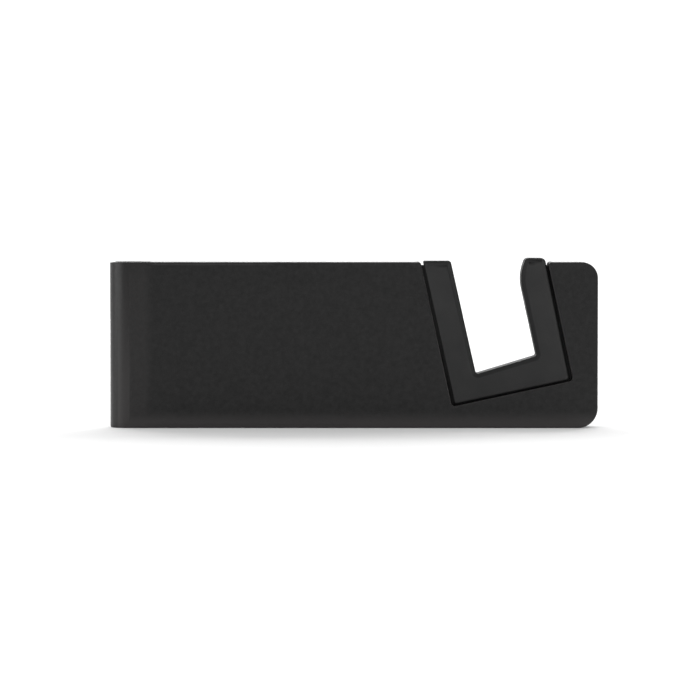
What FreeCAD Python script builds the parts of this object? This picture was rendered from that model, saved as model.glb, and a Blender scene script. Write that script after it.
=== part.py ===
import FreeCAD, Part
import Sketcher
import math
import os

# A folding phone stand. Two flat leaves are hinged together along a short edge and open into a V.
# Each leaf is a thin moulded shell closed by a liner plate. A U-shaped soft grip, clamped between
# shell and liner, lines the slot that the phone leans back in.
#
# Frame: +Z is up as the open stand stands on a desk, +X runs along the folded leaves from the hinge
# to the phone slots, and -Y is the outer face of the front leaf. The origin is below the middle of
# the folded stand. The rear leaf turns about the hinge pin, which is parallel to Z.

doc = FreeCAD.newDocument("phone_stand")

# --- Driving dimensions, millimetres and degrees ------------------------------------------------

SIZES = [
    ("leaf_length", 100.0, "hinge end to free end"),
    ("leaf_height", 34.0, "edge the stand rests on to top edge"),
    ("leaf_thickness", 3.9, "one leaf, outer face to inner face"),
    ("leaf_clearance", 0.2, "air between the folded leaves"),
    ("skin", 1.3, "outer skin of a shell"),
    ("wall", 1.4, "side wall of a shell"),
    ("upper_corner", 3.3, "free end's upper corner of a leaf"),
    ("lower_corner", 4.1, "free end's lower corner of a leaf"),
    ("edge_radius", 0.3, "moulded outer edges of a shell"),
    ("liner_thickness", 1.2, "plate that closes a shell"),
    ("liner_clearance", 0.1, "air round a liner"),
    ("socket_radius", 2.9, "front shell's hollow round the knuckle"),
    ("knuckle_radius", 2.7, "rear shell's knuckle"),
    ("cover_overlap", 0.3, "how far the hinge cover reaches past the middle plane"),
    ("opening_angle", 70.0, "largest angle between the leaves"),
    ("heel_angle", 14.0, "rear leaf's rounding that is left at the largest angle"),
    ("cap_height", 2.8, "hinge cap that closes the socket and holds the pin"),
    ("cap_rise", 0.1, "upper cap above the leaf's top edge"),
    ("cap_clearance", 0.15, "rear shell's clearance round a cap"),
    ("cap_floor", 0.8, "closed end of a cap beyond the pin"),
    ("tongue_length", 4.5, "cap's tongue, from the hinge axis into the front shell"),
    ("tongue_outer", 2.6, "tongue's outer side from the middle plane"),
    ("tongue_inner", 1.0, "tongue's inner side from the middle plane"),
    ("washer_radius", 2.5, "friction washer"),
    ("washer_thickness", 0.35, "friction washer"),
    ("axial_play", 0.05, "air at each end of the knuckle"),
    ("pin_radius", 1.0, "hinge pin"),
    ("pin_clearance", 0.06, "radial running fit of the knuckle on the pin"),
    ("lean", 12.2, "how far the slot leans back"),
    ("seat_x", 20.8, "lowest corner of the grip"),
    ("seat_z", 4.87, "lowest corner of the grip"),
    ("grip_width", 24.05, "across both arms of the grip"),
    ("arm_width", 5.5, "grip's arm on the hinge side"),
    ("slot_width", 12.9, "room for the phone"),
    ("floor_low", 5.1, "grip's thickness under the slot, hinge side"),
    ("floor_high", 6.15, "grip's thickness under the slot, free side"),
    ("lip_start", 23.0, "where the outer arm bends outward"),
    ("lip_flare", 2.0, "how far the outer arm's inner side bends outward"),
    ("lip_radius", 9.5, "curve of that bend"),
    ("lip_rise", 0.8, "outer arm above the leaf's top edge"),
    ("tip_radius", 0.9, "corners of the outer arm's tip"),
    ("grip_rise", 0.2, "inner arm above the leaf's top edge"),
    ("arm_spread", 0.2, "how far the arms lean apart at the top"),
    ("gap_inner", 0.75, "groove between grip and shell, hinge side"),
    ("gap_outer", 0.6, "groove between grip and shell, free side"),
    ("gap_below", 0.35, "groove between grip and shell, under the grip"),
    ("flange_width", 1.5, "grip's flange behind the skin"),
    ("flange_play", 0.1, "air round the flange"),
    ("rim_width", 1.0, "rib round the flange"),
    ("flange_drop", 0.7, "flange's end below the top edge"),
    ("corner_round", 0.5, "corners inside the slot"),
    ("slot_round", 0.9, "grip's edge that the phone meets"),
    ("outline_round", 0.25, "grip's edges along the groove"),
    ("sole_round", 0.6, "grip's lower edge"),
    ("mouth_round", 0.6, "shell's corners where the grip window meets the top edge"),
    ("window_round", 0.8, "grip window's lower corners"),
    ("boss_radius", 1.3, "posts that carry a liner"),
    ("rib_width", 0.8, "ribs that carry a liner"),
]

sheet = doc.addObject("Spreadsheet::Sheet", "Sizes")
for row, (alias, value, meaning) in enumerate(SIZES, start=1):
    sheet.set(f"A{row}", meaning)
    sheet.set(f"B{row}", str(value))
    sheet.setAlias(f"B{row}", alias)
doc.recompute()

# Lengths that several pieces share, worked out from the sheet.
FRONT = -1
REAR = 1
INNER_FACE = "Sizes.leaf_clearance / 2"
OUTER_FACE = "(Sizes.leaf_clearance / 2 + Sizes.leaf_thickness)"
LINER_BACK = "(Sizes.leaf_clearance / 2 + Sizes.liner_thickness)"
CAVITY_DEPTH = "(Sizes.leaf_thickness - Sizes.skin)"
FREE_END = "(Sizes.leaf_length / 2)"
HINGE_X = f"(-Sizes.leaf_length / 2 + {OUTER_FACE})"
CAVITY_START = f"({HINGE_X} + Sizes.tongue_length + Sizes.wall)"
KNUCKLE_START = "(Sizes.cap_height + Sizes.washer_thickness + 2 * Sizes.axial_play)"
CAP_ROOM = "(Sizes.cap_height + Sizes.axial_play + Sizes.washer_thickness)"
UPPER_CAP_START = "(Sizes.leaf_height - Sizes.cap_height)"

# Places of the posts inside a shell, along and up the leaf.
BOSSES = [(-37.5, 4.5), (-37.5, 29.5), (8.5, 4.5), (5.0, 29.5), (27.4, 2.6), (46.0, 4.5), (46.2, 30.2)]
RIB_HEIGHTS = (12.0, 22.0)


# --- Drawing helpers ----------------------------------------------------------------------------

def origin_plane(body, role):
    """The named origin plane of a body."""
    return next(f for f in body.Origin.OriginFeatures if f.Role == role)


def new_body(label):
    """A PartDesign body that becomes one node."""
    body = doc.addObject("PartDesign::Body", label)
    body.Label = label
    doc.recompute()
    return body


def new_sketch(body, name, role, offsets):
    """A sketch on an origin plane; offsets maps AttachmentOffset fields to expressions."""
    sketch = body.newObject("Sketcher::SketchObject", name)
    sketch.AttachmentSupport = [(origin_plane(body, role), "")]
    sketch.MapMode = "FlatFace"
    for field, expression in offsets.items():
        sketch.setExpression("AttachmentOffset." + field, expression)
    return sketch


def bind(sketch, kind, refs, start, name, expression):
    """A sketch constraint whose value comes from the sheet."""
    index = sketch.addConstraint(Sketcher.Constraint(kind, *refs, start))
    sketch.renameConstraint(index, name)
    sketch.setExpression("Constraints." + name, expression)


def draw_polygon(sketch, corners):
    """Closes straight lines through corners, each an (x, y) pair of expressions."""
    count = len(corners)
    rough = [FreeCAD.Vector(20, 0, 0)]
    turn = FreeCAD.Rotation(FreeCAD.Vector(0, 0, 1), 360.0 / count)
    for _ in range(count - 1):
        rough.append(turn.multVec(rough[-1]))
    for i in range(count):
        sketch.addGeometry(Part.LineSegment(rough[i], rough[(i + 1) % count]))
    for i in range(count):
        sketch.addConstraint(Sketcher.Constraint("Coincident", i, 2, (i + 1) % count, 1))
    for i, (across, along) in enumerate(corners):
        bind(sketch, "DistanceX", (-1, 1, i, 1), rough[i].x, f"across{i}", across)
        bind(sketch, "DistanceY", (-1, 1, i, 1), rough[i].y, f"along{i}", along)


def draw_circle(sketch, across, along, radius, start_radius=2.0):
    """A circle with its centre and radius bound to expressions."""
    index = sketch.GeometryCount
    centre = FreeCAD.Vector(1, 1, 0)
    sketch.addGeometry(Part.Circle(centre, FreeCAD.Vector(0, 0, 1), start_radius))
    bind(sketch, "Radius", (index,), start_radius, f"radius{index}", radius)
    bind(sketch, "DistanceX", (-1, 1, index, 3), 1.0, f"across{index}", across)
    bind(sketch, "DistanceY", (-1, 1, index, 3), 1.0, f"along{index}", along)


def face_sketch(body, name, side, depth, in_slot_frame=False):
    """A sketch parallel to the leaf, at depth from the middle plane, on the given side of it."""
    sign = "" if side == FRONT else "-"
    offsets = {"Base.z": f"{sign}({depth})"}
    if in_slot_frame:
        offsets["Base.x"] = "Sizes.seat_x"
        offsets["Base.y"] = "Sizes.seat_z"
        offsets["Rotation.Angle"] = "Sizes.lean"
    return new_sketch(body, name, "XZ_Plane", offsets)


def plan_sketch(body, name, height):
    """A horizontal sketch at the given height."""
    return new_sketch(body, name, "XY_Plane", {"Base.z": height})


def volume(body):
    """Volume of the body so far."""
    doc.recompute()
    return body.Shape.Volume


def pad(body, sketch, length, flipped=False):
    """Adds the sketch's area swept over length."""
    feature = body.newObject("PartDesign::Pad", sketch.Name + "_pad")
    feature.Profile = sketch
    feature.setExpression("Length", length)
    feature.Reversed = flipped
    doc.recompute()
    return feature


def pocket(body, sketch, length, flipped=False):
    """Cuts the sketch's area over length, and makes sure that something was cut."""
    before = volume(body)
    feature = body.newObject("PartDesign::Pocket", sketch.Name + "_cut")
    feature.Profile = sketch
    feature.setExpression("Length", length)
    feature.Reversed = flipped
    if volume(body) >= before - 1e-6:
        raise RuntimeError(f"{feature.Name} cut nothing")
    return feature


def outward_pad(body, sketch, length, side):
    """Pads a face sketch away from the middle plane."""
    return pad(body, sketch, length, flipped=(side == REAR))


def outward_pocket(body, sketch, length, side):
    """Cuts a face sketch away from the middle plane."""
    return pocket(body, sketch, length, flipped=(side == FRONT))


def edges_through(body, places):
    """Names of the edges parallel to Y that stand at the given (x, z) places."""
    found = []
    for number, edge in enumerate(body.Shape.Edges, start=1):
        box = edge.BoundBox
        if max(box.XLength, box.ZLength) > 0.01:
            continue
        for x, z in places:
            if abs(box.XMin - x) < 0.02 and abs(box.ZMin - z) < 0.02:
                found.append(f"Edge{number}")
    return found


def fillet(body, name, edges, radius):
    """Rounds the named edges of the body's current solid."""
    base = body.Tip
    feature = body.newObject("PartDesign::Fillet", name)
    feature.Base = (base, edges)
    feature.setExpression("Radius", radius)
    doc.recompute()
    return feature


# --- Outlines -----------------------------------------------------------------------------------

def leaf_outline(inset, start):
    """The leaf's rectangle from the start position to the free end, drawn in by inset."""
    right = f"({FREE_END} - {inset})"
    top = f"(Sizes.leaf_height - {inset})"
    return [(start, inset), (right, inset), (right, top), (start, top)]


def reach(across, height):
    """In the slot's leaning frame, how far up a line at `across` meets the given height."""
    return f"({height} - Sizes.seat_z - ({across}) * sin(Sizes.lean)) / cos(Sizes.lean)"


def grip_block(inner, outer, below, height):
    """Outside of the grip's U, drawn out by three margins and cut off at a height, in its frame."""
    left, right, floor = f"(-({inner}))", f"(Sizes.grip_width + {outer})", f"(-({below}))"
    return [(left, floor), (right, floor), (right, reach(right, height)), (left, reach(left, height))]


def grip_window(height):
    """Opening that shows the grip, with the groove round it."""
    return grip_block("Sizes.gap_inner", "Sizes.gap_outer", "Sizes.gap_below", height)


def grip_outline():
    """The whole U of the grip with its bent lip, in the slot's frame."""
    top = "(Sizes.leaf_height + Sizes.grip_rise)"
    tip = "(Sizes.leaf_height + Sizes.lip_rise)"
    slot_end = "(Sizes.arm_width + Sizes.slot_width)"
    lip = f"({slot_end} + Sizes.lip_flare)"
    outer_top = "(Sizes.grip_width + Sizes.arm_spread)"
    arm_top = "(Sizes.arm_width - Sizes.arm_spread)"
    inner_top = "(-Sizes.arm_spread)"
    return [
        ("0", "0"),
        ("Sizes.grip_width", "0"),
        (outer_top, reach(outer_top, tip)),
        (lip, reach(lip, tip)),
        (slot_end, "Sizes.lip_start"),
        (slot_end, "Sizes.floor_high"),
        ("Sizes.arm_width", "Sizes.floor_low"),
        (arm_top, reach(arm_top, top)),
        (inner_top, reach(inner_top, top)),
    ]


def flange_outline():
    """The grip's flange, a wider U that ends just below the leaf's top edge."""
    end = "(Sizes.leaf_height - Sizes.flange_drop)"
    out = "(-Sizes.flange_width)"
    right = "(Sizes.grip_width + Sizes.flange_width)"
    inner_left = "(Sizes.arm_width / 2)"
    inner_right = "(Sizes.grip_width - Sizes.arm_width / 2)"
    inner_floor = "(Sizes.floor_low / 2)"
    return [
        (out, out),
        (right, out),
        (right, reach(right, end)),
        (inner_right, reach(inner_right, end)),
        (inner_right, inner_floor),
        (inner_left, inner_floor),
        (inner_left, reach(inner_left, end)),
        (out, reach(out, end)),
    ]


# --- Pieces -------------------------------------------------------------------------------------

def front_section(body):
    """Plan of the front leaf: a plate whose hinge end curls round the socket."""
    sketch = plan_sketch(body, "section", "0")
    outer, socket, hinge_x = 4.0, 2.9, -46.0
    centre = FreeCAD.Vector(hinge_x, 0, 0)
    up = FreeCAD.Vector(0, 0, 1)
    free, inner, lap = 50.0, -0.1, 0.3
    cover = Part.ArcOfCircle(Part.Circle(centre, up, outer), 3.07, 4.71)
    hollow = Part.ArcOfCircle(Part.Circle(centre, up, socket), 3.04, 6.25)
    front_face = Part.LineSegment(FreeCAD.Vector(hinge_x, -outer, 0), FreeCAD.Vector(free, -outer, 0))
    end_face = Part.LineSegment(FreeCAD.Vector(free, -outer, 0), FreeCAD.Vector(free, inner, 0))
    inner_face = Part.LineSegment(FreeCAD.Vector(free, inner, 0), FreeCAD.Vector(-43.1, inner, 0))
    lap_face = Part.LineSegment(FreeCAD.Vector(-48.88, lap, 0), FreeCAD.Vector(-49.99, lap, 0))
    for geometry in (cover, front_face, end_face, inner_face, hollow, lap_face):
        sketch.addGeometry(geometry)
    chain = [((0, 2), (1, 1)), ((1, 2), (2, 1)), ((2, 2), (3, 1)), ((3, 2), (4, 2)), ((4, 1), (5, 1)),
             ((5, 2), (0, 1))]
    for (one, end), (other, start) in chain:
        sketch.addConstraint(Sketcher.Constraint("Coincident", one, end, other, start))
    sketch.addConstraint(Sketcher.Constraint("Coincident", 0, 3, 4, 3))
    sketch.addConstraint(Sketcher.Constraint("PointOnObject", 0, 3, -1))
    for line in (1, 3, 5):
        sketch.addConstraint(Sketcher.Constraint("Horizontal", line))
    sketch.addConstraint(Sketcher.Constraint("Vertical", 2))
    sketch.addConstraint(Sketcher.Constraint("Vertical", 0, 3, 0, 2))
    bind(sketch, "DistanceX", (-1, 1, 0, 3), hinge_x, "hinge", HINGE_X)
    bind(sketch, "Radius", (0,), outer, "cover", OUTER_FACE)
    bind(sketch, "Radius", (4,), socket, "socket", "Sizes.socket_radius")
    bind(sketch, "DistanceX", (-1, 1, 2, 1), free, "free_end", FREE_END)
    bind(sketch, "DistanceY", (-1, 1, 2, 2), inner, "inner", f"-{INNER_FACE}")
    bind(sketch, "DistanceY", (-1, 1, 5, 1), lap, "lap", "Sizes.cover_overlap")
    return sketch


def rear_section(body):
    """Plan of the rear leaf: a plate that ends on the knuckle, rounded no further than it may open."""
    sketch = plan_sketch(body, "section", "0")
    outer, hinge_x, free, inner = 4.0, -46.0, 50.0, 0.1
    centre = FreeCAD.Vector(hinge_x, 0, 0)
    rounding = Part.ArcOfCircle(Part.Circle(centre, FreeCAD.Vector(0, 0, 1), outer), 1.571, 1.79)
    first = rounding.StartPoint
    last = rounding.EndPoint
    neck = FreeCAD.Vector(hinge_x, 1.5, 0)
    heel = FreeCAD.Vector(hinge_x, inner, 0)
    toe = FreeCAD.Vector(free, inner, 0)
    corner = FreeCAD.Vector(free, outer, 0)
    lines = [(last, neck), (neck, heel), (heel, toe), (toe, corner), (corner, first)]
    sketch.addGeometry(rounding)
    for one, other in lines:
        sketch.addGeometry(Part.LineSegment(one, other))
    for line in range(len(lines)):
        before = (0, 2) if line == 0 else (line, 2)
        sketch.addConstraint(Sketcher.Constraint("Coincident", *before, line + 1, 1))
    sketch.addConstraint(Sketcher.Constraint("Coincident", 5, 2, 0, 1))
    sketch.addConstraint(Sketcher.Constraint("PointOnObject", 0, 3, -1))
    for line in (2, 4):
        sketch.addConstraint(Sketcher.Constraint("Vertical", line))
    for line in (3, 5):
        sketch.addConstraint(Sketcher.Constraint("Horizontal", line))
    sketch.addConstraint(Sketcher.Constraint("Vertical", 0, 3, 0, 1))
    sketch.addConstraint(Sketcher.Constraint("Vertical", 0, 3, 2, 1))
    bind(sketch, "DistanceX", (-1, 1, 0, 3), hinge_x, "hinge", HINGE_X)
    bind(sketch, "Radius", (0,), outer, "outer", OUTER_FACE)
    bind(sketch, "DistanceX", (0, 2, 0, 1), 0.87, "rounding",
         f"{OUTER_FACE} * sin(Sizes.heel_angle)")
    bind(sketch, "DistanceY", (-1, 1, 2, 1), 1.5, "neck", "Sizes.knuckle_radius / 2")
    bind(sketch, "DistanceY", (-1, 1, 3, 1), inner, "inner", INNER_FACE)
    bind(sketch, "DistanceX", (-1, 1, 4, 1), free, "free_end", FREE_END)
    return sketch


def hinge_disc(body, name, height, radius):
    """A horizontal circle round the hinge axis."""
    sketch = plan_sketch(body, name, height)
    draw_circle(sketch, HINGE_X, "0", radius)
    return sketch


def shell_inside(body, side):
    """Hollow, posts, ribs, grip window and flange groove, the same in both shells."""
    cavity = face_sketch(body, "cavity", side, INNER_FACE)
    draw_polygon(cavity, leaf_outline("Sizes.wall", CAVITY_START))
    outward_pocket(body, cavity, CAVITY_DEPTH, side)
    round_free_corners(body, "cavity_corner", sheet.wall)

    support_height = f"({CAVITY_DEPTH} - Sizes.liner_thickness)"
    posts = face_sketch(body, "posts", side, LINER_BACK)
    for x, z in BOSSES:
        draw_circle(posts, str(x), str(z), "Sizes.boss_radius", 1.3)
    outward_pad(body, posts, support_height, side)

    for number, height in enumerate(RIB_HEIGHTS):
        rib = face_sketch(body, f"rib{number}", side, LINER_BACK)
        low, high = f"({height} - Sizes.rib_width / 2)", f"({height} + Sizes.rib_width / 2)"
        end = f"(Sizes.seat_x - ({height} - Sizes.seat_z) * tan(Sizes.lean) - Sizes.rim_width)"
        start = f"({CAVITY_START} - Sizes.wall / 2)"
        draw_polygon(rib, [(start, low), (end, low), (end, high), (start, high)])
        outward_pad(body, rib, support_height, side)

    rim = face_sketch(body, "rim", side, LINER_BACK, in_slot_frame=True)
    grown = "(Sizes.flange_width + Sizes.flange_play + Sizes.rim_width)"
    draw_polygon(rim, grip_block(grown, grown, grown, "(Sizes.leaf_height - Sizes.wall / 2)"))
    outward_pad(body, rim, support_height, side)

    above = "(Sizes.leaf_height + 2)"
    window = face_sketch(body, "window", side, INNER_FACE, in_slot_frame=True)
    draw_polygon(window, grip_window(above))
    outward_pocket(body, window, "Sizes.leaf_thickness + 1", side)

    groove = face_sketch(body, "groove", side, LINER_BACK, in_slot_frame=True)
    flange_room = "(Sizes.flange_width + Sizes.flange_play)"
    draw_polygon(groove, grip_block(flange_room, flange_room, flange_room, above))
    outward_pocket(body, groove, support_height, side)


def round_free_corners(body, name, inset=0.0):
    """The two corners at a leaf's free end, or those of an outline drawn in by inset."""
    right, top = sheet.leaf_length / 2 - inset, sheet.leaf_height - inset
    fillet(body, "lower_" + name, edges_through(body, [(right, inset)]), f"Sizes.lower_corner - {inset}")
    fillet(body, "upper_" + name, edges_through(body, [(right, top)]), f"Sizes.upper_corner - {inset}")


def round_window(body):
    """The grip window's two corners at the top edge and its two lower corners."""
    sides = (-sheet.gap_inner, sheet.grip_width + sheet.gap_outer)
    mouth = [slot_to_leaf(across, up_to_height(across, sheet.leaf_height)) for across in sides]
    fillet(body, "window_mouth", edges_through(body, mouth), "Sizes.mouth_round")
    lower = [slot_to_leaf(across, -sheet.gap_below) for across in sides]
    fillet(body, "window_corners", edges_through(body, lower), "Sizes.window_round")


def outer_face_edges(body, side):
    """Number and edge, for each edge that lies in the outer face."""
    face_y = side * (sheet.leaf_clearance / 2 + sheet.leaf_thickness)
    for number, edge in enumerate(body.Shape.Edges, start=1):
        box = edge.BoundBox
        if abs(box.YMin - face_y) < 1e-4 and abs(box.YMax - face_y) < 1e-4:
            yield number, edge


def soften_outer_face(body, side):
    """A small round along the outer face's outline and the rim of the grip window."""
    hinge_end = -sheet.leaf_length / 2 + sheet.leaf_thickness + 1
    edges = [f"Edge{number}" for number, edge in outer_face_edges(body, side)
             if edge.BoundBox.XMax > hinge_end]
    fillet(body, "outer_edges", edges, "Sizes.edge_radius")


def slot_to_leaf(across, up):
    """A point of the slot's leaning frame as (x, z)."""
    lean = math.radians(sheet.lean)
    x = sheet.seat_x + across * math.cos(lean) - up * math.sin(lean)
    z = sheet.seat_z + across * math.sin(lean) + up * math.cos(lean)
    return x, z


def up_to_height(across, height):
    """How far up the leaning line at `across` meets the given height."""
    lean = math.radians(sheet.lean)
    return (height - sheet.seat_z - across * math.sin(lean)) / math.cos(lean)


def grip_edges(body, side):
    """Names of the grip's outer face edges, sorted into the slot, the sole and the outline."""
    lean = math.radians(sheet.lean)
    found = {"slot": [], "sole": [], "outline": []}
    for number, edge in outer_face_edges(body, side):
        middle = edge.valueAt((edge.FirstParameter + edge.LastParameter) / 2)
        right, rise = middle.x - sheet.seat_x, middle.z - sheet.seat_z
        across = right * math.cos(lean) + rise * math.sin(lean)
        up = rise * math.cos(lean) - right * math.sin(lean)
        on_arm_top = across < sheet.arm_width - 0.1 and middle.z > sheet.leaf_height
        if up < 0.01:
            found["sole"].append(f"Edge{number}")
        elif across < 0.01 or across > sheet.grip_width - 0.01:
            found["outline"].append(f"Edge{number}")
        elif not on_arm_top:
            found["slot"].append(f"Edge{number}")
    return found


def round_grip(body, side):
    """Bends the lip, rounds the tip and the corners, then softens the edges that touch the phone."""
    slot_end = sheet.arm_width + sheet.slot_width
    lip = slot_end + sheet.lip_flare
    tip_height = sheet.leaf_height + sheet.lip_rise
    arm_top = sheet.leaf_height + sheet.grip_rise
    bend = [slot_to_leaf(slot_end, sheet.lip_start)]
    fillet(body, "lip_bend", edges_through(body, bend), "Sizes.lip_radius")
    tip_ends = (lip, sheet.grip_width + sheet.arm_spread)
    tip = [slot_to_leaf(across, up_to_height(across, tip_height)) for across in tip_ends]
    fillet(body, "tip_corners", edges_through(body, tip), "Sizes.tip_radius")
    arm_end = sheet.arm_width - sheet.arm_spread
    corners = [
        slot_to_leaf(sheet.arm_width, sheet.floor_low),
        slot_to_leaf(slot_end, sheet.floor_high),
        slot_to_leaf(arm_end, up_to_height(arm_end, arm_top)),
    ]
    fillet(body, "slot_corners", edges_through(body, corners), "Sizes.corner_round")

    fillet(body, "slot_edges", grip_edges(body, side)["slot"], "Sizes.slot_round")
    fillet(body, "sole_edge", grip_edges(body, side)["sole"], "Sizes.sole_round")
    fillet(body, "outline_edges", grip_edges(body, side)["outline"], "Sizes.outline_round")


def tongue_plan(body, name, height):
    """Plan of a cap's tongue, or of the notch that it fits in."""
    sketch = plan_sketch(body, name, height)
    end = f"({HINGE_X} + Sizes.tongue_length)"
    outer, inner = "(-Sizes.tongue_outer)", "(-Sizes.tongue_inner)"
    draw_polygon(sketch, [(HINGE_X, outer), (end, outer), (end, inner), (HINGE_X, inner)])
    return sketch


def front_shell():
    """Outer moulding of the front leaf, with the curled cover that the rear knuckle turns in."""
    body = new_body("front_shell")
    pad(body, front_section(body), "Sizes.leaf_height")
    shell_inside(body, FRONT)
    pocket(body, tongue_plan(body, "lower_notch", "0"), "Sizes.cap_height", flipped=True)
    pocket(body, tongue_plan(body, "upper_notch", "Sizes.leaf_height"), "Sizes.cap_height")
    round_free_corners(body, "corner")
    round_window(body)
    soften_outer_face(body, FRONT)
    return body


def rear_shell():
    """Outer moulding of the rear leaf, with the knuckle that turns on the pin."""
    body = new_body("rear_shell")
    pad(body, rear_section(body), "Sizes.leaf_height")
    shell_inside(body, REAR)
    cap_room = "(Sizes.socket_radius + Sizes.cap_clearance)"
    pocket(body, hinge_disc(body, "lower_cap_room", "0", cap_room), CAP_ROOM, flipped=True)
    pocket(body, hinge_disc(body, "upper_cap_room", "Sizes.leaf_height", cap_room), CAP_ROOM)
    knuckle = hinge_disc(body, "knuckle", KNUCKLE_START, "Sizes.knuckle_radius")
    pad(body, knuckle, f"Sizes.leaf_height - 2 * {KNUCKLE_START}")
    bore = hinge_disc(body, "bore", "0", "(Sizes.pin_radius + Sizes.pin_clearance)")
    pocket(body, bore, "Sizes.leaf_height", flipped=True)
    round_free_corners(body, "corner")
    round_window(body)
    soften_outer_face(body, REAR)
    return body


def hinge_cap(label, start, height, bore_start):
    """Round plug in the end of the socket, keyed into the front shell, that holds the pin's end."""
    body = new_body(label)
    pad(body, hinge_disc(body, "disc", start, "Sizes.socket_radius"), height)
    pad(body, tongue_plan(body, "tongue", start), height)
    bore = hinge_disc(body, "bore", bore_start, "Sizes.pin_radius")
    pocket(body, bore, "Sizes.cap_height - Sizes.cap_floor", flipped=True)
    return body


def liner(label, side):
    """Plate that closes a shell and clamps the grip's flange."""
    body = new_body(label)
    plate = face_sketch(body, "plate", side, INNER_FACE)
    inset = "(Sizes.wall + Sizes.liner_clearance)"
    draw_polygon(plate, leaf_outline(inset, f"({CAVITY_START} + Sizes.liner_clearance)"))
    outward_pad(body, plate, "Sizes.liner_thickness", side)
    round_free_corners(body, "corner", sheet.wall + sheet.liner_clearance)
    window = face_sketch(body, "window", side, INNER_FACE, in_slot_frame=True)
    draw_polygon(window, grip_window("(Sizes.leaf_height + 2)"))
    outward_pocket(body, window, "Sizes.liner_thickness + 1", side)
    return body


def grip(label, side):
    """Soft U that the phone stands in, with a flange held between shell and liner."""
    body = new_body(label)
    arms = face_sketch(body, "arms", side, INNER_FACE, in_slot_frame=True)
    draw_polygon(arms, grip_outline())
    outward_pad(body, arms, "Sizes.leaf_thickness", side)

    flange_depth = f"({LINER_BACK} + Sizes.flange_play)"
    flange = face_sketch(body, "flange", side, flange_depth, in_slot_frame=True)
    draw_polygon(flange, flange_outline())
    thickness = f"{CAVITY_DEPTH} - Sizes.liner_thickness - 2 * Sizes.flange_play"
    outward_pad(body, flange, thickness, side)
    round_grip(body, side)
    return body


def washer(label, height):
    """Friction washer between a cap and the knuckle."""
    body = new_body(label)
    pad(body, hinge_disc(body, "disc", height, "Sizes.washer_radius"), "Sizes.washer_thickness")
    hole = hinge_disc(body, "hole", height, "(Sizes.pin_radius + Sizes.pin_clearance)")
    pocket(body, hole, "Sizes.washer_thickness", flipped=True)
    return body


def hinge_pin(label):
    """Plain steel pin on the hinge axis, its ends in the two caps."""
    pin = doc.addObject("Part::Cylinder", label)
    pin.Label = label
    pin.setExpression("Radius", "Sizes.pin_radius")
    pin.setExpression("Height", "Sizes.leaf_height - 2 * Sizes.cap_floor")
    pin.setExpression("Placement.Base.x", HINGE_X)
    pin.setExpression("Placement.Base.z", "Sizes.cap_floor")
    doc.recompute()
    return pin


pieces = [
    front_shell(),
    liner("front_liner", FRONT),
    grip("front_grip", FRONT),
    rear_shell(),
    liner("rear_liner", REAR),
    grip("rear_grip", REAR),
    hinge_cap("lower_cap", "0", "Sizes.cap_height", "Sizes.cap_floor"),
    hinge_cap("upper_cap", UPPER_CAP_START, "Sizes.cap_height + Sizes.cap_rise", UPPER_CAP_START),
    washer("lower_washer", "(Sizes.cap_height + Sizes.axial_play)"),
    washer("upper_washer", f"({UPPER_CAP_START} - Sizes.axial_play - Sizes.washer_thickness)"),
    hinge_pin("hinge_pin"),
]

# --- Check and write ----------------------------------------------------------------------------

doc.recompute()
for item in doc.Objects:
    if "Invalid" in item.State or "Error" in item.State:
        raise RuntimeError(f"{item.Label} failed: {item.State}")
for piece in pieces:
    shape = piece.Shape
    if shape.isNull() or not shape.isValid() or len(shape.Solids) != 1:
        raise RuntimeError(f"{piece.Label} is not one valid solid")

os.makedirs("parts", exist_ok=True)
for piece in pieces:
    piece.Shape.exportStep(f"parts/{piece.Label}.step")
    box = piece.Shape.BoundBox
    print(f"{piece.Label}: {piece.Shape.Volume:.1f} mm3, x {box.XMin:.2f}..{box.XMax:.2f},"
          f" y {box.YMin:.2f}..{box.YMax:.2f}, z {box.ZMin:.2f}..{box.ZMax:.2f}")
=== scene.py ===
# %% [markdown]
# # A folding phone stand
# Two thin black leaves are hinged at one end and open into a V. Each leaf is a moulded shell,
# closed from inside by a liner plate, with a soft grip clamped in its phone slot. The frame that is
# loaded first holds every part at its real size. This lesson gives the parts their finish, and
# makes new meshes for the ones whose faces are not truly flat on a real moulding.

# %% Load the frame
import math

import bmesh
import bpy
import numpy as np
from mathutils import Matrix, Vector
from mathutils.geometry import delaunay_2d_cdt


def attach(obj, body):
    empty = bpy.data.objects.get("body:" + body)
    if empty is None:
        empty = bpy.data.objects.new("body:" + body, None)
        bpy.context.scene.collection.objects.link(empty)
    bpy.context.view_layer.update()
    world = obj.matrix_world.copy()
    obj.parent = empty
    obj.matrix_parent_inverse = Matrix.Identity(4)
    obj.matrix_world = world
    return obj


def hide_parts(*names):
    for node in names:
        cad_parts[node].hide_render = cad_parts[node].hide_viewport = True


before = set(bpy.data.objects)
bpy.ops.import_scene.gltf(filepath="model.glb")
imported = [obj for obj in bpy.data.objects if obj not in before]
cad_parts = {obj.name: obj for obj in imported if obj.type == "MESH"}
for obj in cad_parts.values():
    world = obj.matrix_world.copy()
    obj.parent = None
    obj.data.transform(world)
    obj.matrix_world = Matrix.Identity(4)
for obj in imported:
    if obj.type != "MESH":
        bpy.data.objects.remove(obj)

MM = 0.001
scene = bpy.context.scene
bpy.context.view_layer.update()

# %% [markdown]
# ## Node helpers
# Every finish below is a small tree of nodes. Writing each tree out in full would hide what
# differs between them, so a few helpers add a node, set its sockets and join it to others.

# %% Node helpers


def put(tree, kind, sockets=None, **settings):
    """Adds a node, sets its properties, then fills sockets from values or from other sockets."""
    node = tree.nodes.new(kind)
    for name, value in settings.items():
        setattr(node, name, value)
    for name, value in (sockets or {}).items():
        if isinstance(value, bpy.types.NodeSocket):
            tree.links.new(value, node.inputs[name])
        else:
            node.inputs[name].default_value = value
    return node


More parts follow.
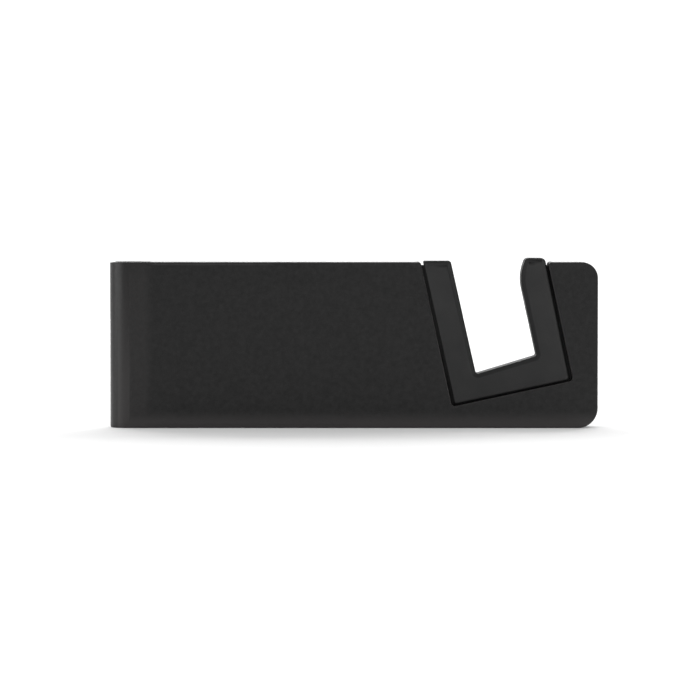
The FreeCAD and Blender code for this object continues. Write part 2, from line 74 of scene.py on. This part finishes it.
def grain(tree, place, size, detail=2.0, stretch=(1, 1, 1)):
    """Noise whose blotches are about `size` metres across, longer where stretch is below 1."""
    shaped = put(tree, "ShaderNodeMapping", {"Vector": place, "Scale": stretch})
    noise = put(tree, "ShaderNodeTexNoise",
                {"Vector": shaped.outputs["Vector"], "Scale": 1 / size, "Detail": detail})
    return noise.outputs["Fac"]


def between(tree, fac, low, high):
    """Spreads the noise's middle range over low to high."""
    spread = put(tree, "ShaderNodeMapRange",
                 {"Value": fac, "From Min": 0.3, "From Max": 0.7, "To Min": low, "To Max": high})
    return spread.outputs["Result"]


def tint(tree, fac, dark, light):
    """A colour that goes from dark to light with the noise."""
    ramp = put(tree, "ShaderNodeValToRGB", {"Fac": fac})
    ramp.color_ramp.elements[0].position, ramp.color_ramp.elements[1].position = 0.3, 0.7
    ramp.color_ramp.elements[0].color = (*dark, 1)
    ramp.color_ramp.elements[1].color = (*light, 1)
    return ramp.outputs["Color"]


def relief(tree, height, depth, strength=1.0, under=None):
    """Bump of a real depth in metres, laid over another bump if there is one."""
    sockets = {"Height": height, "Distance": depth, "Strength": strength}
    if under is not None:
        sockets["Normal"] = under
    return put(tree, "ShaderNodeBump", sockets).outputs["Normal"]


def finish(name):
    """A new material; gives its tree, its shader and the place on the object in metres."""
    material = bpy.data.materials.new(name)
    material.use_nodes = True
    tree = material.node_tree
    shader = tree.nodes["Principled BSDF"]
    place = put(tree, "ShaderNodeTexCoord").outputs["Object"]
    return material, tree, shader, place


# %% [markdown]
# ## Moulded plastic
# The shells are black ABS from a mould with a fine spark-eroded texture. Close up it is a grain of
# about a fifth of a millimetre that scatters the light. From further off the surface is slightly
# cloudy, because the texture comes out shinier where the plastic pressed harder on the mould.
# A noise at each of these two sizes drives colour, roughness and bump. Handling polishes the edges, and
# a value that the meshes carry makes the plastic lighter, warmer and smoother there. The same value
# makes the hinge end lighter and smoother. Along the foot it paints a sheen into the colour, which is a
# painted reflection of the bright floor.

# %% Moulded plastic
GRAIN = 0.22 * MM
CLOUD = 0.9 * MM
# Lighter colour for worn edges and the hinge end, also used as a painted sheen along the foot.
WEAR_AND_SHEEN_TONE = (0.0340, 0.0318, 0.0318, 1)


def moulded_plastic(name, dark, light, roughness, gloss, grain_depth):
    """Plastic between two colours, with bump of a real depth, lighter where it is rubbed."""
    material, tree, shader, place = finish(name)
    fine = grain(tree, place, GRAIN, detail=3.0)
    cloud = grain(tree, place, CLOUD, detail=4.0)
    both = put(tree, "ShaderNodeMath", {0: fine, 1: cloud}, operation="ADD").outputs[0]
    mixed = put(tree, "ShaderNodeMath", {0: both, 1: 0.5}, operation="MULTIPLY").outputs[0]
    # The carried value lightens worn edges and the hinge end, and paints a sheen along the foot.
    wear_and_painted_light = put(tree, "ShaderNodeAttribute", attribute_name="wear_and_painted_light").outputs["Fac"]
    body = tint(tree, mixed, dark, light)
    mix = put(tree, "ShaderNodeMix", {0: wear_and_painted_light, 6: body, 7: WEAR_AND_SHEEN_TONE}, data_type="RGBA")
    tree.links.new(mix.outputs[2], shader.inputs["Base Color"])
    sheen = between(tree, cloud, roughness + 0.04, roughness - 0.04)
    polish = put(tree, "ShaderNodeMath", {0: wear_and_painted_light, 1: 0.03}, operation="MULTIPLY").outputs[0]
    rough = put(tree, "ShaderNodeMath", {0: sheen, 1: polish}, operation="SUBTRACT").outputs[0]
    tree.links.new(rough, shader.inputs["Roughness"])
    shader.inputs["Specular IOR Level"].default_value = gloss
    mottle = relief(tree, cloud, 1.5 * grain_depth, 0.6)
    tree.links.new(relief(tree, fine, grain_depth, 0.5, under=mottle), shader.inputs["Normal"])
    return material


BLACK = (0.0022, 0.0022, 0.0023)
BLACK_CLOUD = (0.0136, 0.0134, 0.0135)
shell_plastic = moulded_plastic("black_moulded_plastic", BLACK, BLACK_CLOUD, 0.36, 0.29, 0.02 * MM)
LINER, LINER_CLOUD = (0.012, 0.012, 0.012), (0.019, 0.019, 0.019)
liner_plastic = moulded_plastic("liner_plastic", LINER, LINER_CLOUD, 0.38, 0.4, 0.01 * MM)
CAP, CAP_CLOUD = (0.010, 0.010, 0.010), (0.015, 0.015, 0.015)
cap_plastic = moulded_plastic("cap_plastic", CAP, CAP_CLOUD, 0.40, 0.4, 0.01 * MM)
for black in (shell_plastic, liner_plastic, cap_plastic):
    print(black.name, "has", len(black.node_tree.nodes), "nodes")

# %% [markdown]
# ## Soft rubber, nylon and steel
# The grips are a thermoplastic rubber: a touch lighter than the shells, even and silky, with painted
# shade along the slot's bevel and the grip's other edges, where the colour is made darker. The washers
# are natural nylon, milky and a little translucent. The pin is cut from drawn wire, whose fine
# scratches all run along it, so its noise is stretched along Z.

# %% Soft rubber, nylon and steel
# Darker rubber colour, used as painted shade along the grip's edges and the slot's bevel.
PAINTED_EDGE_SHADE = (0.0030, 0.0030, 0.0031, 1)


def soft_rubber():
    """Silky, with a cloud of the size of a fingertip and a very fine grain."""
    material, tree, shader, place = finish("soft_rubber")
    fine = grain(tree, place, 0.12 * MM)
    cloud = grain(tree, place, 7 * MM, detail=3.0)
    wear_and_painted_light = put(tree, "ShaderNodeAttribute", attribute_name="wear_and_painted_light").outputs["Fac"]
    rubber_tone = tint(tree, cloud, (0.0250, 0.0250, 0.0252), (0.0300, 0.0299, 0.0299))
    # Painted shade: the carried value darkens the rubber along its edges and the slot's bevel.
    mix = put(tree, "ShaderNodeMix", {0: wear_and_painted_light, 6: rubber_tone, 7: PAINTED_EDGE_SHADE}, data_type="RGBA")
    tree.links.new(mix.outputs[2], shader.inputs["Base Color"])
    tree.links.new(between(tree, cloud, 0.7, 0.62), shader.inputs["Roughness"])
    tree.links.new(relief(tree, fine, 0.006 * MM, 0.4), shader.inputs["Normal"])
    shader.inputs["Specular IOR Level"].default_value = 0.2
    return material


def natural_nylon():
    """Milky, and lit a little from inside."""
    material, tree, shader, place = finish("natural_nylon")
    fine = grain(tree, place, 0.1 * MM)
    cloud = grain(tree, place, 1.2 * MM)
    milk = tint(tree, cloud, (0.62, 0.60, 0.53), (0.74, 0.72, 0.66))
    tree.links.new(milk, shader.inputs["Base Color"])
    tree.links.new(between(tree, cloud, 0.32, 0.42), shader.inputs["Roughness"])
    tree.links.new(relief(tree, fine, 0.004 * MM, 0.4), shader.inputs["Normal"])
    shader.inputs["Subsurface Weight"].default_value = 0.3
    shader.inputs["Subsurface Scale"].default_value = 0.5 * MM
    return material


def drawn_steel():
    """Bare metal, scratched along its length."""
    material, tree, shader, place = finish("drawn_steel")
    lines = grain(tree, place, 0.06 * MM, stretch=(1, 1, 0.02))
    cloud = grain(tree, place, 2 * MM)
    metal = tint(tree, cloud, (0.45, 0.45, 0.46), (0.60, 0.60, 0.60))
    tree.links.new(metal, shader.inputs["Base Color"])
    tree.links.new(between(tree, lines, 0.24, 0.36), shader.inputs["Roughness"])
    tree.links.new(relief(tree, lines, 0.003 * MM, 0.4), shader.inputs["Normal"])
    shader.inputs["Metallic"].default_value = 1.0
    return material


grip_rubber, washer_nylon, pin_steel = soft_rubber(), natural_nylon(), drawn_steel()


# %% [markdown]
# ## Pieces that keep the frame's mesh
# Seven pieces are flat plates, rings and rods on the real stand too, so the frame's own mesh is
# already right for them. They only get a material in place of the frame's plain colour.

# %% Pieces that keep the frame's mesh


def paint(piece, material):
    """The piece wears this material alone."""
    for slot in piece.material_slots:
        slot.material = material
    if not piece.material_slots:
        piece.data.materials.append(material)


FINISHES = {  # frame node: its material
    "front_liner": liner_plastic, "rear_liner": liner_plastic,
    "lower_cap": cap_plastic, "upper_cap": cap_plastic,
    "lower_washer": washer_nylon, "upper_washer": washer_nylon,
    "hinge_pin": pin_steel,
}
for node, material in FINISHES.items():
    paint(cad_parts[node], material)
    print(node, "wears", material.name)

# %% [markdown]
# ## The moulded face
# A flat plate never leaves its mould flat. Its rim falls away a little, because the plastic is
# thickest where the skin runs into the side walls and shrinks most there. Posts and ribs behind
# the skin pull shallow dimples and lines, and the rest waves by a hundredth of a millimetre. The
# frame's face is one flat polygon, so it is cut out of a copy of the shell, and a fine sheet of
# triangles with the same rim is laid in its place. A Geometry Nodes tree presses the sheet in,
# because the same rule shapes both leaves and both grips.

# %% The rule that shapes a face


def socket_of(tree, name):
    """Identifier of a named input of a node group."""
    return next(i.identifier for i in tree.interface.items_tree
                if i.item_type == "SOCKET" and i.in_out == "INPUT" and i.name == name)


def moulded_face_tree():
    """Presses a flat sheet in: a falling rim, sunk lines and dimples behind it, and waves."""
    tree = bpy.data.node_groups.new("moulded_face", "GeometryNodeTree")
    face = tree.interface
    face.new_socket("Sheet", in_out="INPUT", socket_type="NodeSocketGeometry")
    for name in ("Rim Fall", "Line Depth", "Dimple Depth", "Dimple Radius", "Wave Height",
                 "Wave Length", "Inward", "Seed"):
        face.new_socket(name, in_out="INPUT", socket_type="NodeSocketFloat")
    face.new_socket("Posts", in_out="INPUT", socket_type="NodeSocketObject")
    face.new_socket("Material", in_out="INPUT", socket_type="NodeSocketMaterial")
    face.new_socket("Face", in_out="OUTPUT", socket_type="NodeSocketGeometry")
    given = tree.nodes.new("NodeGroupInput").outputs

    def worked(kind, one, other):
        """One sum or product of two values."""
        return put(tree, "ShaderNodeMath", {0: one, 1: other}, operation=kind).outputs[0]

    def carried(name):
        """A value that the sheet's corners carry."""
        kind = "GeometryNodeInputNamedAttribute"
        return put(tree, kind, {"Name": name}, data_type="FLOAT").outputs[0]

    here = put(tree, "GeometryNodeInputPosition").outputs[0]
    posts = put(tree, "GeometryNodeObjectInfo", {"Object": given["Posts"]}).outputs["Geometry"]
    near = put(tree, "GeometryNodeProximity", {0: posts}, target_element="POINTS").outputs["Distance"]
    dimple = put(tree, "ShaderNodeMapRange", {"Value": near, "From Min": 0.0,
                 "From Max": given["Dimple Radius"], "To Min": 1.0, "To Max": 0.0},
                 interpolation_type="SMOOTHERSTEP").outputs["Result"]
    scale = worked("DIVIDE", 1.0, given["Wave Length"])
    noise = put(tree, "ShaderNodeTexNoise", {"Vector": here, "W": given["Seed"], "Scale": scale,
                "Detail": 1.0}, noise_dimensions="4D").outputs["Fac"]
    dimples = worked("MULTIPLY", dimple, given["Dimple Depth"])
    waves = worked("MULTIPLY", noise, given["Wave Height"])
    loose = worked("MULTIPLY", worked("ADD", dimples, waves), carried("room"))
    lines = worked("MULTIPLY", carried("line"), given["Line Depth"])
    fall = worked("MULTIPLY", carried("fall"), given["Rim Fall"])
    depth = worked("MULTIPLY", worked("ADD", worked("ADD", fall, lines), loose), given["Inward"])
    offset = put(tree, "ShaderNodeCombineXYZ", {"Y": depth}).outputs[0]
    pressed = put(tree, "GeometryNodeSetPosition", {"Geometry": given["Sheet"], "Offset": offset})
    real = put(tree, "GeometryNodeRealizeInstances", {"Geometry": pressed.outputs[0]})
    dressed = put(tree, "GeometryNodeSetMaterial",
                  {"Geometry": real.outputs[0], "Material": given["Material"]})
    out = tree.nodes.new("NodeGroupOutput")
    tree.links.new(dressed.outputs[0], out.inputs["Face"])
    return tree


face_tree = moulded_face_tree()
print("nodes in the face's rule:", len(face_tree.nodes))

# %% [markdown]
# The fall of the rim, the sunk lines and the room for waves are values on the sheet's corners,
# worked out here from how far each corner is from the rims. The rim falls with an even slope that
# dies out over a millimetre or two, widest at the hinge. The grip window leans, so its distance is
# measured in the slot's own leaning frame.

# %% Where a face may sink
LEAN = math.radians(12.2)
SEAT_X, SEAT_Z = 20.8 * MM, 4.87 * MM
WINDOW_LEFT, WINDOW_RIGHT, WINDOW_FLOOR = -0.75 * MM, 24.65 * MM, -0.35 * MM
LINE_FROM_WINDOW, LINE_WIDTH = 2.3 * MM, 0.8 * MM
HALF_LENGTH, HEIGHT = 50 * MM, 34 * MM
HINGE_X, OUTER = -46 * MM, 4.0 * MM
RIB_HEIGHTS = (12 * MM, 22 * MM)
RIB_START, RIB_END, RIB_WIDTH, RIB_SHARE = -40 * MM, 16 * MM, 1 * MM, 0.3
POSTS = [(-37.5, 4.5), (-37.5, 29.5), (8.5, 4.5), (5.0, 29.5), (27.4, 2.6),
         (46.0, 4.5), (46.2, 30.2)]

# For each rim: the slope, how far it stays even, and over how much more it dies out.
HINGE_FALL = (0.060, 3.4 * MM, 2.0 * MM)
TOP_FALL = (0.045, 2.0 * MM, 1.2 * MM)
FOOT_FALL = (0.050, 1.6 * MM, 1.8 * MM)
END_FALL = (0.040, 0.8 * MM, 1.6 * MM)
WINDOW_FALL = (0.030, 0.9 * MM, 1.2 * MM)


def smooth(t):
    """Goes from 0 to 1 without a kink."""
    t = np.clip(t, 0, 1)
    return t * t * (3 - 2 * t)


def falling(distance, slope, even, dying):
    """How far a face has fallen at a distance from its rim."""
    t = np.clip((distance - even) / dying, 0, 1)
    return slope * (np.maximum(even - distance, 0) + dying * (0.5 - (t - t ** 3 + t ** 4 / 2)))


def in_slot_frame(x, z):
    """Place across and up the slot, in its leaning frame."""
    right, up = x - SEAT_X, z - SEAT_Z
    across = right * math.cos(LEAN) + up * math.sin(LEAN)
    above = up * math.cos(LEAN) - right * math.sin(LEAN)
    return across, above


def from_window(x, z):
    """Distance from the grip window's sides and floor."""
    across, above = in_slot_frame(x, z)
    beside = np.maximum(np.maximum(WINDOW_LEFT - across, across - WINDOW_RIGHT), 0)
    return np.hypot(beside, np.maximum(WINDOW_FLOOR - above, 0))


def shell_fall(x, z):
    """How far the shell's outer face has fallen at its rims."""
    return (falling(x - HINGE_X, *HINGE_FALL) * (x >= HINGE_X - 1e-6)
            + falling(HEIGHT - z, *TOP_FALL) + falling(z, *FOOT_FALL)
            + falling(HALF_LENGTH - x, *END_FALL) + falling(from_window(x, z), *WINDOW_FALL))


def shell_lines(x, z):
    """Sunk lines over the rim rib round the grip and over the two long ribs."""
    lines = np.exp(-((from_window(x, z) - LINE_FROM_WINDOW) / LINE_WIDTH) ** 2)
    ends = smooth((x - RIB_START) / (3 * MM)) * smooth((RIB_END - x) / (3 * MM))
    for height in RIB_HEIGHTS:
        lines = lines + RIB_SHARE * np.exp(-((z - height) / RIB_WIDTH) ** 2) * ends
    return lines


print("fall at the hinge rim in mm:", round(float(falling(0.0, *HINGE_FALL)) / MM, 3))


# %% [markdown]
# The sheet's triangles come from a Delaunay triangulation that keeps the rim's own edges and fills
# the inside with an even grid of points. It joins the shell with no gap, which a separate plane
# laid on top would not, and it leaves the rounded rim of the frame's own mesh untouched.

# %% Cut out a face and lay in a sheet
FINE = 0.5 * MM
SAME = 0.002 * MM
ON_FACE = 0.0005 * MM
RIM_ROUND, COVER_SKIN = 0.35 * MM, 0.5 * MM


def editable_copy(node):
    """An editable copy of the frame's part, with its loose triangles joined."""
    work = bmesh.new()
    work.from_mesh(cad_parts[node].data)
    bmesh.ops.remove_doubles(work, verts=work.verts, dist=SAME)
    return work


def rim_distance(points, rim):
    """Distance from each point to the nearest rim edge, and whether the point lies inside."""
    px, pz = points[:, 0][:, None], points[:, 1][:, None]
    ax, az, bx, bz = (rim[:, i][None, :] for i in range(4))
    length = np.maximum((bx - ax) ** 2 + (bz - az) ** 2, 1e-18)
    along = np.clip(((px - ax) * (bx - ax) + (pz - az) * (bz - az)) / length, 0, 1)
    away = np.hypot(px - ax - along * (bx - ax), pz - az - along * (bz - az)).min(axis=1)
    rise = np.where(bz == az, 1e-18, bz - az)
    crosses = ((az > pz) != (bz > pz)) & (px < (bx - ax) * (pz - az) / rise + ax)
    return away, crosses.sum(axis=1) % 2 == 1


def lower_rim(work, inward, fall):
    """Moves the rounded rim in with the face, and draws the curl at the hinge in to meet it."""
    for v in work.verts:
        x, y, z = v.co
        if abs(y) > OUTER - RIM_ROUND and x > HINGE_X - 1e-6:
            v.co.y += inward * float(fall(np.float64(x), np.float64(z)))
        elif x < HINGE_X and math.hypot(x - HINGE_X, y) > OUTER - COVER_SKIN and y * inward < 0:
            rims = float(fall(np.float64(HINGE_X), np.float64(z)))
            pull = 1 - rims / OUTER
            v.co.y *= pull
            if inward < 0:  # the rear heel keeps its angle, so that it still clears the cover when open
                v.co.x = HINGE_X + (x - HINGE_X) * pull


def lay_sheet(work, name, outer_y, inward, fall, line, sizes, material):
    """Replaces the flat face at outer_y with a fine sheet that the rule has pressed in."""
    flat = [f for f in work.faces if all(abs(v.co.y - outer_y) < ON_FACE for v in f.verts)]
    bmesh.ops.delete(work, geom=flat, context="FACES")
    rim_edges = [e for e in work.edges if e.is_boundary]
    corners = list(dict.fromkeys(v for e in rim_edges for v in e.verts))
    number = {v: i for i, v in enumerate(corners)}
    rim = np.array([[c for v in e.verts for c in (v.co.x, v.co.z)] for e in rim_edges])
    xs = np.arange(rim[:, 0].min() + FINE / 2, rim[:, 0].max(), FINE)
    zs = np.arange(rim[:, 1].min() + FINE / 2, rim[:, 1].max(), FINE)
    grid = np.array([(x, z) for x in xs for z in zs])
    away, inside = rim_distance(grid, rim)
    grid = grid[inside & (away > 0.3 * FINE)]
    spots = [Vector((v.co.x, v.co.z)) / MM for v in corners]
    spots += [Vector(p) / MM for p in grid.tolist()]
    edges = [(number[e.verts[0]], number[e.verts[1]]) for e in rim_edges]
    found, _, triangles, _, _, _ = delaunay_2d_cdt(spots, edges, [], 1, 1e-6)
    places = np.array([(p.x * MM, outer_y, p.y * MM) for p in found])
    mesh = bpy.data.meshes.new(name)
    mesh.from_pydata(places.tolist(), [], [t if inward > 0 else t[::-1] for t in triangles])
    x, z = places[:, 0], places[:, 2]
    away, _ = rim_distance(places[:, [0, 2]], rim)
    carried = {
        "fall": fall(x, z),
        "line": line(x, z) * smooth(away / (0.8 * MM)),
        "room": smooth(away / (1.2 * MM)),
    }
    for label, values in carried.items():
        held = mesh.attributes.new(label, "FLOAT", "POINT")
        held.data.foreach_set("value", np.asarray(values, np.float32))
    sheet = bpy.data.objects.new(name, mesh)
    scene.collection.objects.link(sheet)
    rule = sheet.modifiers.new("moulded_face", "NODES")
    rule.node_group = face_tree
    for label, value in {**sizes, "Inward": inward, "Material": material}.items():
        rule[socket_of(face_tree, label)] = value
    shaped = sheet.evaluated_get(bpy.context.evaluated_depsgraph_get())
    pressed = bpy.data.meshes.new_from_object(shaped)
    bpy.data.objects.remove(sheet)
    lower_rim(work, inward, fall)
    work.from_mesh(pressed)
    bmesh.ops.remove_doubles(work, verts=work.verts, dist=SAME)
    depth = max(abs(v.co.y - outer_y) for v in pressed.vertices)
    print(f"{name}: {len(triangles)} triangles, up to {depth / MM:.3f} mm deep")
    bpy.data.meshes.remove(pressed)


def post_points(outer_y):
    """Loose points where the posts meet the face, for the rule to measure from."""
    mesh = bpy.data.meshes.new("posts")
    mesh.from_pydata([(x * MM, outer_y, z * MM) for x, z in POSTS], [], [])
    holder = bpy.data.objects.new("posts", mesh)
    scene.collection.objects.link(holder)
    return holder


# %% [markdown]
# The edited copy then becomes an object of its own. Its corners get the value that the finishes read.
# It is strongest where the surface turns away at an edge and along the foot of the face, with a weaker
# share at the hinge end. On a shell it lightens worn edges and paints a sheen along the foot. On a grip
# it darkens the edges with painted shade.

# %% Turn the copy into a piece
EDGE_FLAT, EDGE_TURN, EDGE_DEPTH = 0.95, 0.35, 1 * MM
# Painted sheen: the foot of the face is made lighter, standing for the bright floor's reflection.
FOOT_PAINTED_SHEEN, FOOT_SHEEN_BAND = 1.0, (0.8 * MM, 3.0 * MM)
# The hinge end is made lighter, fading out over its band.
HINGE_LIGHTENING, HINGE_LIGHTENING_BAND = 0.35, (3.0 * MM, 2.2 * MM)


def to_piece(work, name, material, outer_y, sharp_angle):
    """Turns the edited mesh into an object with smooth faces, and marks its worn edges and its painted
    light.
    """
    bmesh.ops.recalc_face_normals(work, faces=work.faces)
    loose = [e for e in work.edges if not e.is_manifold]
    mesh = bpy.data.meshes.new(name)
    work.to_mesh(mesh)
    work.free()
    for label in ("fall", "line", "room"):
        if label in mesh.attributes:
            mesh.attributes.remove(mesh.attributes[label])
    mesh.shade_smooth()
    mesh.set_sharp_from_angle(angle=math.radians(sharp_angle))
    mesh.materials.clear()
    mesh.materials.append(material)
    mesh.polygons.foreach_set("material_index", [0] * len(mesh.polygons))
    x, y, z = np.array([v.co for v in mesh.vertices]).T
    flat = np.array([abs(v.normal.y) for v in mesh.vertices])
    near_face = np.abs(y - outer_y) < EDGE_DEPTH
    # Edges: worn and lighter on a shell, darkened with painted shade on a grip.
    edge = np.clip((EDGE_FLAT - flat) / EDGE_TURN, 0, 1) * near_face * (x > HINGE_X)
    # Painted sheen along the foot: lighter colour where the floor's reflection is painted in.
    foot = FOOT_PAINTED_SHEEN * (1 - smooth((z - FOOT_SHEEN_BAND[0]) / FOOT_SHEEN_BAND[1])) * near_face
    # Lighter towards the hinge end.
    hinge = HINGE_LIGHTENING * (1 - smooth((x - HINGE_X - HINGE_LIGHTENING_BAND[0]) / HINGE_LIGHTENING_BAND[1]))
    wear_and_painted_light = np.maximum(np.maximum(edge, foot), hinge)
    held = mesh.attributes.new("wear_and_painted_light", "FLOAT", "POINT")
    held.data.foreach_set("value", wear_and_painted_light.astype(np.float32))
    piece = bpy.data.objects.new(name, mesh)
    scene.collection.objects.link(piece)
    print(f"{name}: {len(mesh.polygons)} faces, {len(loose)} open edges")
    return piece


# %% [markdown]
# ## Shells
# Each leaf's shell is copied, gets its sheet, and replaces the frame's plain one. The two faces
# have different seeds, because no two mouldings wave alike. A crease stays sharp where two faces
# meet at more than 32 degrees, so the rounded rims still shade smoothly.

# %% Shells
SHELL_SIZES = {"Rim Fall": 1.0, "Line Depth": 0.02 * MM, "Dimple Depth": 0.03 * MM,
               "Dimple Radius": 2.4 * MM, "Wave Height": 0.025 * MM, "Wave Length": 12 * MM}

for body, outer_y, seed in (("front", -OUTER, 3.0), ("rear", OUTER, 8.0)):
    posts = post_points(outer_y)
    shell = editable_copy(body + "_shell")
    inward = -math.copysign(1.0, outer_y)
    lay_sheet(shell, body + "_face", outer_y, inward, shell_fall, shell_lines,
              {**SHELL_SIZES, "Seed": seed, "Posts": posts}, shell_plastic)
    bpy.data.objects.remove(posts)
    piece = to_piece(shell, body + "_moulding", shell_plastic, outer_y, 32)
    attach(piece, body + "_leaf")
    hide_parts(body + "_shell")

# %% [markdown]
# ## Grips
# The grips are pressed from soft rubber, which has no walls to hold it flat either, so their faces
# get the same rule, with shorter waves and no fall, lines or dimples. Along the slot the real grip
# has a straight bevel with a crease, which lets a phone slide in.

# %% Grips
GRIP_SIZES = {"Rim Fall": 0.0, "Line Depth": 0.0, "Dimple Depth": 0.0,
              "Dimple Radius": 1 * MM, "Wave Height": 0.02 * MM, "Wave Length": 9 * MM}
GRIP_WIDTH = 24.05 * MM
SIDE_BAND, SOLE_BAND = 0.6 * MM, 1.5 * MM
SLOT_ROUND, BEVEL_DEPTH = 0.9 * MM, 0.75 * MM


def nowhere(x, z):
    """No fall and no lines."""
    return np.zeros_like(x)


def bevel_slot(work):
    """Flattens the frame's round along the slot into a straight bevel with a crease on the face."""
    moved = 0
    for v in work.verts:
        across, up = in_slot_frame(v.co.x, v.co.z)
        below_face = OUTER - abs(v.co.y)
        on_side = across < SIDE_BAND or across > GRIP_WIDTH - SIDE_BAND
        if on_side or up < SOLE_BAND or below_face > SLOT_ROUND + SAME / 2:
            continue
        t = math.sqrt(max(0.0, 1 - (1 - below_face / SLOT_ROUND) ** 2))
        v.co.y = math.copysign(OUTER - BEVEL_DEPTH * t, v.co.y)
        moved += 1
    print("bevel moved", moved, "corners")


for body, outer_y, seed in (("front", -OUTER, 5.0), ("rear", OUTER, 6.0)):
    posts = post_points(outer_y)
    soft = editable_copy(body + "_grip")
    bevel_slot(soft)
    inward = -math.copysign(1.0, outer_y)
    lay_sheet(soft, body + "_grip_face", outer_y, inward, nowhere, nowhere,
              {**GRIP_SIZES, "Seed": seed, "Posts": posts}, grip_rubber)
    bpy.data.objects.remove(posts)
    piece = to_piece(soft, body + "_soft_grip", grip_rubber, outer_y, 18)
    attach(piece, body + "_leaf")
    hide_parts(body + "_grip")

# %% [markdown]
# ## Stage and lights
# A pale floor in white surroundings. Black plastic shows its shape by what it reflects, so what
# stands in front of it is kept dim. The world is white to the eye alone: as a light it is dim in
# front and brighter at the sides and behind.

# %% Floor and world
FLOOR_SIZE = 1.3


def make_floor():
    """A pale sheet under the stand."""
    half = FLOOR_SIZE / 2
    mesh = bpy.data.meshes.new("floor")
    corners = [(-half, -half, 0), (half, -half, 0), (half, half, 0), (-half, half, 0)]
    mesh.from_pydata(corners, [], [(0, 1, 2, 3)])
    floor = bpy.data.objects.new("floor", mesh)
    scene.collection.objects.link(floor)
    paper, _, surface, _ = finish("pale_paper")
    surface.inputs["Base Color"].default_value = (0.9, 0.9, 0.9, 1)
    surface.inputs["Roughness"].default_value = 0.9
    surface.inputs["Specular IOR Level"].default_value = 0.1
    mesh.materials.append(paper)


def make_world(seen, front, side):
    """White to the eye. As a light it is dim in front and bright at the sides and behind."""
    world = bpy.data.worlds.new("studio")
    scene.world = world
    world.use_nodes = True
    tree = world.node_tree
    tree.nodes.clear()
    way = put(tree, "ShaderNodeTexCoord").outputs["Generated"]
    parts = put(tree, "ShaderNodeSeparateXYZ", {0: way}).outputs
    sideways = put(tree, "ShaderNodeMath", {0: parts["X"]}, operation="ABSOLUTE").outputs[0]
    beside = put(tree, "ShaderNodeMapRange",
                 {"Value": sideways, "From Min": 0.12, "From Max": 0.75,
                  "To Min": front, "To Max": side}).outputs["Result"]
    behind = put(tree, "ShaderNodeMapRange",
                 {"Value": parts["Y"], "From Min": -0.1, "From Max": 0.4,
                  "To Min": 0.0, "To Max": 0.5}).outputs["Result"]
    strength = put(tree, "ShaderNodeMath", {0: beside, 1: behind}, operation="ADD").outputs[0]
    white = put(tree, "ShaderNodeBackground", {"Color": (1, 1, 1, 1), "Strength": seen})
    lit = put(tree, "ShaderNodeBackground", {"Color": (1, 1, 1, 1), "Strength": strength})
    path = put(tree, "ShaderNodeLightPath")
    mix = put(tree, "ShaderNodeMixShader",
              {0: path.outputs["Is Camera Ray"], 1: lit.outputs[0], 2: white.outputs[0]})
    put(tree, "ShaderNodeOutputWorld", {"Surface": mix.outputs[0]})


make_floor()
make_world(seen=1.3, front=0.14, side=0.38)
scene.view_settings.view_transform = "Standard"
print("floor", FLOOR_SIZE, "m wide")

# %% [markdown]
# ## Soft boxes
# A broad soft box high behind throws the short soft shadow towards the viewer. One above the front
# lifts the whole face evenly, and a small dim card lower down puts a faint sheen on it. A box at
# each side lights the rounded hinge end and the free end.

# %% Soft boxes


def soft_box(name, place, aim, width, height, power):
    """A rectangular light at a place, turned to face the aim."""
    light = bpy.data.lights.new(name, "AREA")
    light.shape = "RECTANGLE"
    light.size, light.size_y = width, height
    light.energy = power
    holder = bpy.data.objects.new(name, light)
    holder.location = place
    holder.rotation_euler = (Vector(aim) - Vector(place)).to_track_quat("-Z", "Y").to_euler()
    holder.visible_camera = False
    scene.collection.objects.link(holder)
    print(name, width, "by", height, "m,", power, "W")


soft_box("back_box", (0.05, 1.0, 0.62), (0, 0, 0.0), 2.2, 0.9, 20)
soft_box("front_card", (0.12, -0.9, 0.26), (0, 0, 0.02), 0.5, 0.3, 0.7)
soft_box("front_fill", (0.0, -0.45, 0.85), (0, -0.05, 0.0), 1.2, 0.5, 2.8)
soft_box("left_box", (-0.85, -0.35, 0.2), (0, 0, 0.02), 0.75, 0.5, 2.9)
soft_box("right_box", (0.8, -0.1, 0.2), (0, 0, 0.02), 0.3, 0.4, 2.2)

# %% [markdown]
# ## Camera
# A long lens from three quarters of a metre, square to the front leaf and a touch above it, so
# that the long edges stay parallel and the front of the floor just shows.

# %% Camera
DISTANCE = 0.75
ELEVATION = math.radians(2.5)
SEEN_WIDTH = 143.9 * MM
AIM = Vector((-0.72 * MM, 0.0, 15.85 * MM))

lens = bpy.data.cameras.new("camera")
lens.sensor_width = 36.0
lens.lens = lens.sensor_width * DISTANCE / SEEN_WIDTH
lens.clip_start, lens.clip_end = 0.01, 20.0
camera = bpy.data.objects.new("camera", lens)
back = Vector((0, -math.cos(ELEVATION), math.sin(ELEVATION)))
camera.location = AIM + back * DISTANCE
camera.rotation_euler = (-back).to_track_quat("-Z", "Y").to_euler()
scene.collection.objects.link(camera)
scene.camera = camera
print(f"lens {lens.lens:.1f} mm")
